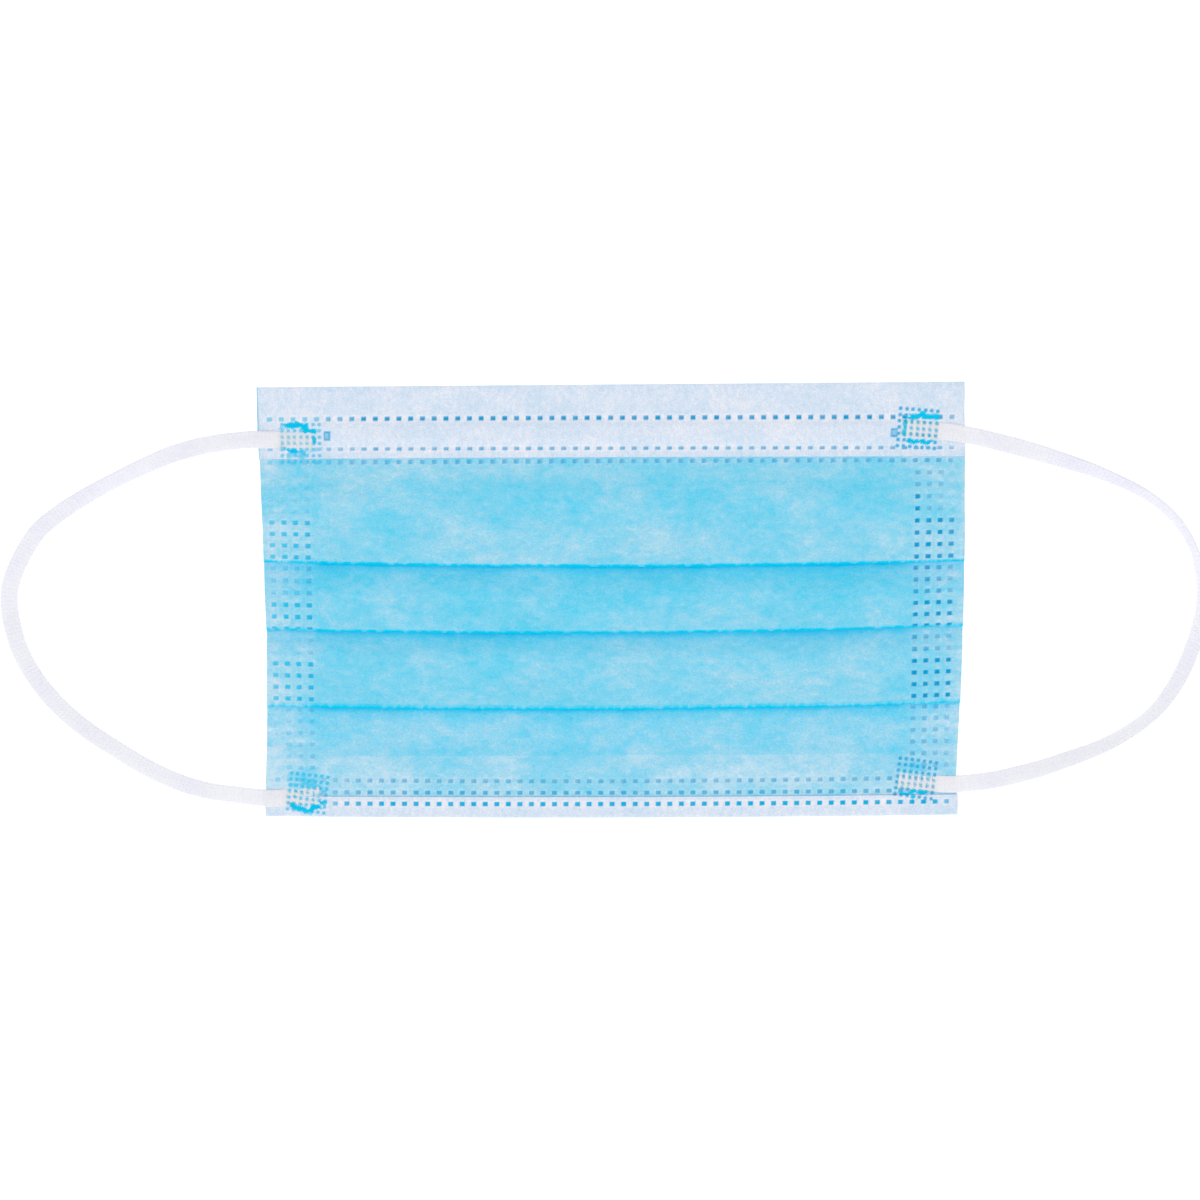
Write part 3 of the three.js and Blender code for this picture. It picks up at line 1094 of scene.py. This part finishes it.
noseHemLook = {
    "rawEdge": 15.8,
    "ridgeHeight": 1.3,
    "ridge": (7.3, 9.5, 11.4, 13.6),  # foot, top, top and foot of the ridge over the wire
    "ridgeEnd": (60.1, 64),  # it comes down past the end of the wire
    "backEnd": 25.3,
    "fineFrom": 4.2,
    "tone": 0.5,
    "betweenRowsTone": 0.535,
    "betweenRows": (7.2, 8.4, 13, 14),
    "edgeMelt": 0.5,  # the blue cloth under it shows at the cut edge
}


def noseHemSection():
    look = noseHemLook
    back, front, wall = cloth["hemBack"], cloth["hemFront"], cloth["hemWall"]
    turnAt = turnStart(0, -1, back, front, wall)
    foot, top, topEnd, footEnd = look["ridge"]
    parts = [
        level(look["backEnd"], turnAt, back),
        halfTurn(0, -1, back, front, wall),
        level(turnAt, foot, front),
        climb(foot, top, front, look["ridgeHeight"]),
        level(top, topEnd, look["ridgeHeight"]),
        climb(topEnd, footEnd, look["ridgeHeight"], front),
        level(footEnd, look["rawEdge"], front),
    ]
    section = joinSection(parts, wall)
    section["settle"] = lambda x, middle: middle - np.maximum(middle - front, 0) * smoothShare(
        *look["ridgeEnd"], np.abs(x)
    )
    return section


def hemRows(section, turnSpan, fineFrom, fineTo):
    # the legs have fine rows between the two distances, and the turn its own
    rows = []
    for span, (first, last) in enumerate(section["spans"]):
        if span == turnSpan:
            rows += list(rowsRound(section, span))
            continue
        start, end = section["points"][first, 0], section["points"][last, 0]
        low, high = min(start, end), max(start, end)
        cuts = sorted({low, high, min(max(fineFrom, low), high), min(max(fineTo, low), high)})
        distances = [low]
        for before, after in zip(cuts, cuts[1:]):
            fine = fineFrom - 0.01 <= before and after <= fineTo + 0.01
            step, keep = (cloth["fineStep"], ()) if fine else (cloth["restStep"], rowLines)
            distances += spaced(before, after, step, keep)[1:]
        rows += sorted(rowsOn(section, span, distances))
    rows = np.array(rows)
    return rows[np.concatenate([[True], np.diff(rows) > 1e-4])]


def makeHem(name, section, rows, columns, node, edges, tones):
    outer = faceOf(section, rows, columns, 1, np.ones(len(rows)), edges)
    innerRows = np.append(rows[:-1:4], rows[-1])
    inner = faceOf(section, innerRows, coarseColumns, -1, np.zeros(len(innerRows)), edges)
    outer["tone"] = tones(outer) + spunbond["whiteRing"] * outer["ring"]
    inner["tone"] = np.full(inner["x"].shape, 0.5)
    leftEdge = outer["melt"][:, 0]
    onNoseHem = outer["distance"][:, 0] < pleatedLook["hemEdge"] + 1.2
    outer["melt"][:, 0] = np.maximum(leftEdge, noseHemLook["edgeMelt"] * onNoseHem)
    piece = meshPiece(name, *buildWall(outer, inner), innerCloth, "inner_cloth", node)
    return piece


def noseTones(face):
    look = noseHemLook
    start, full, fading, end = look["betweenRows"]
    between = smoothShare(start, full, face["distance"]) * (1 - smoothShare(fading, end, face["distance"]))
    front = face["place"][..., 2] > 0.5
    return look["tone"] + (look["betweenRowsTone"] - look["tone"]) * between * front


def chinTones(face):
    return np.full(face["x"].shape, 0.5)


noseSection = noseHemSection()
noseRows = hemRows(noseSection, 1, noseHemLook["fineFrom"], 17.2)
noseHem = makeHem(
    "noseHem", noseSection, noseRows, columnsFor(0), "nose_hem", noseHemSides, noseTones
)

chinHemLook = {"rawEdge": 90.3, "end": 95.0, "backEnd": 85.1, "fineFrom": 85.1}


def chinHemSection():
    look = chinHemLook
    back, front, wall = cloth["hemBack"], cloth["hemFront"], cloth["hemWall"]
    turnAt = turnStart(look["end"], 1, front, back, wall)
    parts = [
        level(look["rawEdge"], turnAt, front),
        halfTurn(look["end"], 1, front, back, wall),
        level(turnAt, look["backEnd"], back),
    ]
    return joinSection(parts, wall)


chinSection = chinHemSection()
chinRows = hemRows(chinSection, 1, chinHemLook["fineFrom"], 94.85)
chinHem = makeHem(
    "chinHem", chinSection, chinRows, columnsFor(5), "chin_hem", chinHemSides, chinTones
)
print("hems", len(noseHem.data.vertices), len(chinHem.data.vertices), "points")

# Elastics

# Middle lines from the weld at the nose hem round to the weld at the chin
leftRoute = (
    (-64.1, 35.4, 4.2), (-69.4, 35.5, 4.2), (-74.1, 35.7, 4.2), (-79.3, 35.8, 3.9),
    (-84.8, 35.2, 2.6), (-89.9, 34.2, 1.2), (-95.3, 32.6, 0.6), (-100.5, 30.4, 0.6),
    (-105.8, 27.9, 0.6), (-111, 25.2, 0.6), (-116.3, 22.1, 0.6), (-120.7, 19.1, 0.6),
    (-124.3, 16, 0.6), (-127.1, 12, 0.6), (-129.4, 7.6, 0.6), (-130.9, 2.8, 0.6),
    (-130.9, -2, 0.6), (-130.2, -6, 0.6), (-128.9, -10.4, 0.6), (-126.7, -14.8, 0.6),
    (-123.6, -19.3, 0.6), (-119.3, -24, 0.6), (-114.2, -28.3, 0.6), (-109, -31.8, 0.6),
    (-103.8, -35.1, 0.6), (-98.6, -37.9, 0.6), (-93.3, -40.1, 0.8), (-88, -41.5, 2),
    (-82.5, -42.2, 3.6), (-77.3, -42.6, 4.2), (-72, -42.5, 4.2), (-63.7, -42, 4.2),
)
rightRoute = (
    (62.6, 38.6, 4.4), (67.3, 38.1, 4.3), (72, 37.6, 4.2), (77, 36.8, 4.1),
    (82.5, 35.6, 3), (87.7, 34.4, 1.4), (93, 32.9, 0.6), (98.2, 31.3, 0.6),
    (103.5, 29.6, 0.6), (108.7, 27.5, 0.6), (114, 25, 0.6), (118.4, 22.1, 0.6),
    (122.2, 18.6, 0.6), (125.1, 14.4, 0.6), (127, 10.1, 0.6), (128.1, 5, 0.6),
    (128.5, -0.3, 0.6), (127.9, -5.3, 0.6), (126.4, -10.2, 0.6), (124.6, -14.8, 0.6),
    (122.2, -19.3, 0.6), (119, -23.5, 0.6), (115, -27, 0.6), (110.2, -30.1, 0.6),
    (105, -32.6, 0.6), (99.8, -34.6, 0.6), (94.6, -36.3, 0.6), (89.2, -37.7, 0.8),
    (84, -38.8, 1.7), (78.5, -39.4, 2.7), (73.2, -39.5, 3), (68, -39, 3),
    (63.1, -38.5, 3),
)

elastic = {
    "width": 3.78,
    "thickness": 0.58,
    "pressed": 0.4,  # share of its thickness that is left in the weld
    "pressing": (7.5, 9.5),  # how far from its end it comes up to its full thickness
    "edgePoints": 14,  # points round each half of the section
    "ribs": 5,
    "ribHeight": 0.04,
    "weldLength": 11,  # fine rings as far as this from each end
    "fineStep": 0.25,
    "step": 0.9,
    "lying": 0.36,
    "sinking": 0.16,  # how deep the band lies in the soft cloth
    "stiffRings": 6,  # it doesn't dip between high places nearer together than this
}

# How far each band stands up on its outer edge, in degrees, at shares of its length
leftTurn = {"share": (0, 0.15, 0.26, 0.36, 0.5, 0.62, 0.85, 1), "degrees": (0, 0, 28, 12, 4, 8, 0, 0)}
rightTurn = {
    "share": (0, 0.15, 0.22, 0.27, 0.33, 0.38, 0.43, 0.48, 0.53, 0.6, 0.66, 0.72, 0.78, 0.87, 1),
    "degrees": (0, 0, 28, 46, 58, 65, 72, 60, 42, 40, 54, 50, 36, 6, 0),
}

# How far each band lies nearer the chin than its route, in mm, now that it lies lower
leftShift = {"share": (0, 0.045, 0.1, 0.5, 0.88, 0.94, 1), "nearer": (0, 0, 0.38, 0.33, 0.42, 0.75, 0.5)}
rightShift = {
    "share": (0, 0.1, 0.16, 0.4, 0.6, 0.78, 0.85, 0.93, 1),
    "nearer": (0.22, 0.22, 0.42, 0.3, 0.15, 0, 0.42, 0.7, 0.72),
}


def curveThrough(points):
    # Catmull-Rom curve through the points
    points = np.array(points, float)
    padded = np.vstack([2 * points[0] - points[1], points, 2 * points[-1] - points[-2]])
    fine = []
    for index in range(1, len(padded) - 2):
        before, start, end, after = padded[index - 1 : index + 3]
        for share in np.linspace(0, 1, 12, endpoint=False):
            cubic = 2 * start + (end - before) * share + (2 * before - 5 * start + 4 * end - after) * share**2
            fine.append((cubic + (3 * start - before - 3 * end + after) * share**3) / 2)
    fine.append(points[-1])
    fine = np.array(fine)
    along = np.concatenate([[0], np.cumsum(np.linalg.norm(np.diff(fine, axis=0), axis=1))])
    return fine, along


def treeOf(piece):
    corners = [vertex.co.copy() for vertex in piece.data.vertices]
    return BVHTree.FromPolygons(corners, [tuple(face.vertices) for face in piece.data.polygons])


clothTrees = [treeOf(piece) for piece in (pleatedCloth, noseHem, chinHem)]


def clothTop(x, y):
    # height of the cloth at a place, or 0 beside it
    heights = [0.0]
    for tree in clothTrees:
        hit = tree.ray_cast(Vector((x * mm, y * mm, 0.05)), Vector((0, 0, -1)))
        if hit[0] is not None:
            heights.append(hit[0].z / mm)
    return max(heights)


def evened(values, width):
    kernel = np.hanning(width) / np.hanning(width).sum()
    return np.convolve(np.pad(values, width // 2, mode="edge"), kernel, mode="valid")


def bandLine(route, turn, shift):
    # places, sideways and upwards directions of the band, from its route and the cloth under it
    fine, along = curveThrough(route)
    length = along[-1]
    weld = elastic["weldLength"]
    marks = np.array(fineEnds(0, weld, length - weld, length, elastic["fineStep"], elastic["step"]))
    line = np.column_stack([np.interp(marks, along, fine[:, axis]) for axis in range(3)])
    line[:, 1] -= np.interp(marks / length, shift["share"], shift["nearer"])
    angles = np.radians(np.interp(marks / length, turn["share"], turn["degrees"]))
    heading = np.gradient(line[:, :2], marks, axis=0)
    heading /= np.linalg.norm(heading, axis=1)[:, None]
    outward = np.column_stack([heading[:, 1], -heading[:, 0]])
    if outward[0] @ np.array([0, 1]) < 0:
        outward = -outward
    half = elastic["width"] / 2
    fromEnd = np.minimum(marks, length - marks)
    pressed = (1 - elastic["pressed"]) * (1 - smoothShare(*elastic["pressing"], fromEnd))
    thick = elastic["thickness"] * (1 - pressed)
    standing = half * np.sin(angles) + thick / 2 * np.cos(angles) + 0.03
    shares = np.linspace(-1, 1, 9)
    tops = np.zeros((len(marks), len(shares)))
    for index in np.flatnonzero(fromEnd < 1.4 * weld):
        tops[index] = [clothTop(*(line[index, :2] + outward[index] * half * share)) for share in shares]
    under = tops.max(axis=1)
    # across the band each point comes down on what lies under it, such as the two sides of a cut edge
    lower = np.maximum(tops - under[:, None], -0.4)
    lower = (lower + np.roll(lower, 1, axis=1) + np.roll(lower, -1, axis=1)) / 3
    lower[:, [0, -1]] = lower[:, [1, -2]]
    fading = 1 - smoothShare(1.02 * weld, 1.15 * weld, fromEnd)
    lower = np.where(under[:, None] > 0, lower, 0) * fading[:, None]
    near = elastic["stiffRings"]
    highest = np.array([under[max(i - near, 0) : i + near + 1].max() for i in range(len(under))])
    onCloth = evened(highest, 15) + thick / 2 - elastic["sinking"]
    line[:, 2] = np.where(under > 0, onCloth, np.maximum(elastic["lying"], standing))
    line[:, 2] = evened(line[:, 2], 19)
    line[:, 2] = np.maximum(line[:, 2], np.maximum(standing, np.where(under > 0, onCloth, 0)))
    return marks, line, outward, angles, thick, (shares, lower)


def makeEarLoop(name, route, turn, shift, node):
    marks, line, outward, angles, thickness, (shares, lower) = bandLine(route, turn, shift)
    count = elastic["edgePoints"] * 2
    around = 2 * math.pi * np.arange(count) / count
    across, rise = rounded(np.cos(around), 0.7), rounded(np.sin(around), 0.7)
    ribs = elastic["ribHeight"] * (1 - np.cos(across * math.pi * elastic["ribs"])) / 2
    ribbed = rise * (thickness[:, None] / 2 - ribs)
    level = across * elastic["width"] / 2
    sideways = np.column_stack([outward, np.zeros(len(outward))])
    upright = np.array([0, 0, 1.0])
    wide = sideways * np.cos(angles)[:, None] + upright * np.sin(angles)[:, None]
    facing = -sideways * np.sin(angles)[:, None] + upright * np.cos(angles)[:, None]
    rings = line[:, None] + wide[:, None] * level[:, None] + facing[:, None] * ribbed[..., None]
    pinInk, melt, dent, tint = pinsAt(rings[..., 0], rings[..., 1])
    topSide = (rise > 0)[None, :]
    nearEnd = (np.minimum(marks, marks[-1] - marks) < elastic["weldLength"] * 0.9)[:, None]
    rings[..., 2] -= np.where(topSide & nearEnd, dent, 0)
    rings[..., 2] += [np.interp(across, shares, drop) for drop in lower]
    # painted shade: the band's tone is lowered along its edges and where its face turns towards the chin side
    edge = 0.1 * smoothShare(0.8, 1, np.abs(across))
    values = {
        "weld": np.where(topSide & nearEnd, np.maximum(pinInk, tint), 0).ravel(),
        "melt": np.where(topSide & nearEnd, melt, 0).ravel(),
        "along": np.broadcast_to(marks[:, None], rings.shape[:2]).ravel(),
        "across": np.broadcast_to(across, rings.shape[:2]).ravel(),
        "tone": (0.5 - edge - 0.3 * np.maximum(-facing[:, 1:2], 0)).ravel(),
    }
    faces = ringFaces(len(marks), count)
    if wide[0] @ np.cross(line[1] - line[0], facing[0]) > 0:
        faces = [face[::-1] for face in faces]
    places = rings.reshape(-1, 3)
    piece = meshPiece(name, places, faces, len(faces) - 2, values, knittedElastic, "elastic", node)
    return piece


makeEarLoop("earLoopLeft", leftRoute, leftTurn, leftShift, "ear_loop_left")
makeEarLoop("earLoopRight", rightRoute, rightTurn, rightShift, "ear_loop_right")
print("ear loops done")

# Nose wire, hidden in its channel between two rows of welds

wire = {"bottom": 0.75, "height": 0.41, "coreWidth": 0.9, "roundEnd": 1.2, "fineEnd": 2, "points": 24}


def makeNoseWire():
    low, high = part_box("nose_wire")
    halfLength, halfWide = (high.x - low.x) / 2 / mm, (high.y - low.y) / 2 / mm
    middle = (high.y + low.y) / 2 / mm
    count, fine = wire["points"], wire["fineEnd"]
    around = 2 * math.pi * np.arange(count) / count
    across = rounded(np.cos(around), 0.7)
    offCore = np.abs(across) * halfWide - halfWide * 0.6
    core = 0.75 + 0.25 * bump(offCore, wire["coreWidth"] * 0.3, wire["coreWidth"])
    rise = rounded(np.sin(around), 0.5) * wire["height"] / 2 * core
    marks = np.array(fineEnds(-halfLength, -halfLength + fine, halfLength - fine, halfLength, 0.2, 4))
    inset = np.maximum(np.abs(marks) - (halfLength - wire["roundEnd"]), 0) / wire["roundEnd"]
    narrow = np.sqrt(1 - 0.5 * inset**2)
    centreHeight = wire["bottom"] + wire["height"] / 2
    rings = np.stack(
        [
            np.broadcast_to(marks[:, None], (len(marks), count)),
            middle + across * halfWide * narrow[:, None] - drift(marks, noseEdge - middle)[:, None],
            centreHeight + rise * narrow[:, None],
        ],
        axis=-1,
    )
    places, faces = rings.reshape(-1, 3), ringFaces(len(marks), count)
    return meshPiece("noseWire", places, faces, len(faces), {}, wireCoat, "coated_wire", "nose_wire")


makeNoseWire()
print("nose wire done")


def makeFloor():
    half = studio["floorSize"] / 2 * mm
    mesh = bpy.data.meshes.new("floor")
    corners = [(-half, -half, 0), (half, -half, 0), (half, half, 0), (-half, half, 0)]
    mesh.from_pydata(corners, [], [(0, 1, 2, 3)])
    mesh.materials.append(makeFloorPaint())
    floor = bpy.data.objects.new("floor", mesh)
    bpy.context.scene.collection.objects.link(floor)


makeFloor()
